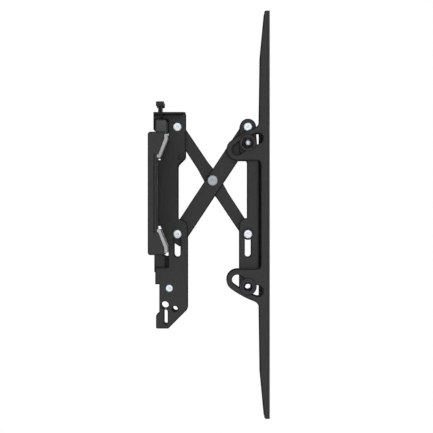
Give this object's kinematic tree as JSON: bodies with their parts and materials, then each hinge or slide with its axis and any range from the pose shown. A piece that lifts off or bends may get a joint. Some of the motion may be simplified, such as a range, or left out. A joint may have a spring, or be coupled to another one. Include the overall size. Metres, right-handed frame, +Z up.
{
  "type": "extending tilting tv wall mount",
  "caption": "Wall plate carrying two folding scissor-link arms whose upright slotted rails tilt, with levelling screws and spring latches, for hanging a flat television.",
  "frame": {"origin": "middle of the wall plate's back, on the plane of the wall", "axes": "+X from the wall to the television, +Y along the wall, +Z up"},
  "size_m": [0.134, 0.5, 0.4493],
  "materials": {
    "powder_black": "satin powder coat",
    "hook_black": "satin powder coat on a casting",
    "screw_black": "black oxide",
    "zinc": "bright zinc plate",
    "bush_grey": "dark zinc plate",
    "spring_steel": "drawn wire",
    "nylon": "matte"
  },
  "bodies": {
    "wall_plate": {"wall_plate": "powder_black"},
    "left_hook": {"left_hook_block": "hook_black"},
    "left_screw": {"left_level_screw": "screw_black"},
    "left_bracket": {"left_wall_bracket": "powder_black", "left_wall_pivot_rivet": "zinc", "left_latch_rivet": "zinc", "left_spring_post": "zinc", "left_latch_spring": "spring_steel"},
    "left_inner_link_body": {"left_inner_link": "powder_black", "left_head_slide_rivet": "zinc", "left_centre_rivet": "zinc", "left_inner_link_spacers": "nylon", "left_inner_link_washers": "nylon", "left_slide_washer": "nylon"},
    "left_outer_link_body": {"left_outer_link": "powder_black", "left_wall_slide_rivet": "zinc", "left_outer_link_spacers": "nylon", "left_outer_link_washers": "nylon", "left_centre_washer": "nylon"},
    "left_head": {"left_head_bracket": "powder_black", "left_head_pivot_rivet": "zinc", "left_tilt_stud": "zinc", "left_tilt_nut": "screw_black", "left_tilt_washers": "screw_black", "left_friction_washers": "nylon", "left_tilt_bush": "bush_grey"},
    "left_rail": {"left_tv_rail": "powder_black"},
    "left_latch": {"left_latch_plate": "powder_black"},
    "right_hook": {"right_hook_block": "hook_black"},
    "right_screw": {"right_level_screw": "screw_black"},
    "right_bracket": {"right_wall_bracket": "powder_black", "right_wall_pivot_rivet": "zinc", "right_latch_rivet": "zinc", "right_spring_post": "zinc", "right_latch_spring": "spring_steel"},
    "right_inner_link_body": {"right_inner_link": "powder_black", "right_head_slide_rivet": "zinc", "right_centre_rivet": "zinc", "right_inner_link_spacers": "nylon", "right_inner_link_washers": "nylon", "right_slide_washer": "nylon"},
    "right_outer_link_body": {"right_outer_link": "powder_black", "right_wall_slide_rivet": "zinc", "right_outer_link_spacers": "nylon", "right_outer_link_washers": "nylon", "right_centre_washer": "nylon"},
    "right_head": {"right_head_bracket": "powder_black", "right_head_pivot_rivet": "zinc", "right_tilt_stud": "zinc", "right_tilt_nut": "screw_black", "right_tilt_washers": "screw_black", "right_friction_washers": "nylon", "right_tilt_bush": "bush_grey"},
    "right_rail": {"right_tv_rail": "powder_black"},
    "right_latch": {"right_latch_plate": "powder_black"}
  },
  "joints": [
    {"name": "left_arm_slide", "type": "slide", "parent": "wall_plate", "child": "left_hook", "axis": [0, 1, 0], "range_m": [-0.06, 0.05]},
    {"name": "left_level", "type": "slide", "parent": "left_hook", "child": "left_bracket", "axis": [0, 0, 1], "range_m": [-0.003, 0.002]},
    {"name": "left_level_screw_turn", "type": "hinge", "parent": "left_hook", "child": "left_screw", "pos_m": [0.0132, -0.1677, 0], "axis": [0, 0, 1], "range_deg": [-1000, 1500]},
    {"name": "left_fold", "type": "hinge", "parent": "left_bracket", "child": "left_inner_link_body", "pos_m": [0.0322, -0.154, 0.0733], "axis": [0, 1, 0], "range_deg": [0, 24]},
    {"name": "left_centre", "type": "hinge", "parent": "left_inner_link_body", "child": "left_outer_link_body", "pos_m": [0.0711, -0.154, 0.01432], "axis": [0, 1, 0], "range_deg": [-48.5, 0.5]},
    {"name": "left_head_pivot", "type": "hinge", "parent": "left_outer_link_body", "child": "left_head", "pos_m": [0.11, -0.154, 0.0733], "axis": [0, 1, 0], "range_deg": [-0.5, 24.5]},
    {"name": "left_tilt", "type": "hinge", "parent": "left_head", "child": "left_rail", "pos_m": [0.1518, -0.154, -0.02335], "axis": [0, 1, 0], "range_deg": [-7, 7]},
    {"name": "left_latch", "type": "slide", "parent": "left_bracket", "child": "left_latch", "axis": [0, 0, -1], "range_m": [0, 0.013], "stiffness_N_per_m": 300, "springref_m": -0.01, "deforming": ["left_latch_spring"]},
    {"name": "right_arm_slide", "type": "slide", "parent": "wall_plate", "child": "right_hook", "axis": [0, 1, 0], "range_m": [-0.05, 0.06]},
    {"name": "right_level", "type": "slide", "parent": "right_hook", "child": "right_bracket", "axis": [0, 0, 1], "range_m": [-0.003, 0.002]},
    {"name": "right_level_screw_turn", "type": "hinge", "parent": "right_hook", "child": "right_screw", "pos_m": [0.0132, 0.1677, 0], "axis": [0, 0, 1], "range_deg": [-1000, 1500]},
    {"name": "right_fold", "type": "hinge", "parent": "right_bracket", "child": "right_inner_link_body", "pos_m": [0.0322, 0.154, 0.0733], "axis": [0, 1, 0], "range_deg": [0, 24]},
    {"name": "right_centre", "type": "hinge", "parent": "right_inner_link_body", "child": "right_outer_link_body", "pos_m": [0.0711, 0.154, 0.01432], "axis": [0, 1, 0], "range_deg": [-48.5, 0.5]},
    {"name": "right_head_pivot", "type": "hinge", "parent": "right_outer_link_body", "child": "right_head", "pos_m": [0.11, 0.154, 0.0733], "axis": [0, 1, 0], "range_deg": [-0.5, 24.5]},
    {"name": "right_tilt", "type": "hinge", "parent": "right_head", "child": "right_rail", "pos_m": [0.1518, 0.154, -0.02335], "axis": [0, 1, 0], "range_deg": [-7, 7]},
    {"name": "right_latch", "type": "slide", "parent": "right_bracket", "child": "right_latch", "axis": [0, 0, -1], "range_m": [0, 0.013], "stiffness_N_per_m": 300, "springref_m": -0.01, "deforming": ["right_latch_spring"]}
  ],
  "couplings": [
    {"joint": "left_level_screw_turn", "follows": "left_level", "rad_per_m": -7854},
    {"joint": "left_centre", "follows": "left_fold", "ratio": -2},
    {"joint": "left_head_pivot", "follows": "left_fold", "ratio": 1},
    {"joint": "right_level_screw_turn", "follows": "right_level", "rad_per_m": -7854},
    {"joint": "right_centre", "follows": "right_fold", "ratio": -2},
    {"joint": "right_head_pivot", "follows": "right_fold", "ratio": 1}
  ]
}
